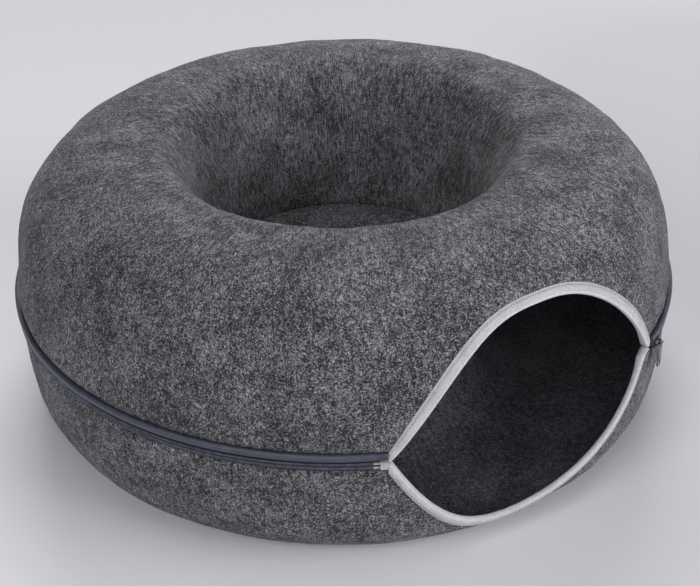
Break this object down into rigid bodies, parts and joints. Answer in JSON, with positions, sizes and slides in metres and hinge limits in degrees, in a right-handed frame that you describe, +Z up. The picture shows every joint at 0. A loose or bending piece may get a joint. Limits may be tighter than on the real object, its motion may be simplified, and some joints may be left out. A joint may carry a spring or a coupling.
{
  "type": "felt cat tunnel bed",
  "caption": "Round felt pet bed: an open bowl in the middle of a closed ring tunnel, with a lens-shaped, tape-edged entrance and a zip round the side that lets the top lift off.",
  "frame": {"origin": "centre of the bed's footprint, on the surface that it stands on", "axes": "+Z up; the entrance faces -Y; +X to the entrance's right, where the closed zip's slider sits"},
  "size_m": [0.6088, 0.5998, 0.243],
  "materials": {
    "felt": "mottled grey needled felt",
    "binding_tape": "pale grey woven tape",
    "zip_tape": "navy-grey woven tape",
    "zip_coil": "navy-grey nylon",
    "zip_end": "pale moulded nylon",
    "slider_metal": "dark satin metal",
    "puller_metal": "grey satin metal"
  },
  "bodies": {
    "lower_half": {"lower_shell": "felt", "entrance_binding_lower": "binding_tape", "zip_tape_lower": "zip_tape", "zip_coil_lower": "zip_coil", "top_stop_lower": "zip_coil", "retainer_box": "zip_end"},
    "upper_half": {"upper_shell": "felt", "bowl_floor": "felt", "entrance_binding_upper": "binding_tape", "zip_tape_upper": "zip_tape", "zip_welt": "zip_tape", "zip_coil_upper": "zip_coil", "top_stop_upper": "zip_coil", "insertion_pin": "zip_end"},
    "slider": {"slider_body": "slider_metal"},
    "puller": {"puller": "puller_metal"}
  },
  "joints": [
    {"name": "upper_lift", "type": "slide", "parent": "lower_half", "child": "upper_half", "axis": [0, 0, 1], "range_m": [0, 0.26]},
    {"name": "zip_travel", "type": "hinge", "parent": "lower_half", "child": "slider", "pos_m": [0, -0.00469, 0.108], "axis": [0, 0, 1], "range_deg": [0, 301]},
    {"name": "puller_swing", "type": "hinge", "parent": "slider", "child": "puller", "pos_m": [0.14981, -0.27363, 0.108], "axis": [-0.8736, -0.4866, 0], "range_deg": [-8, 188]}
  ]
}
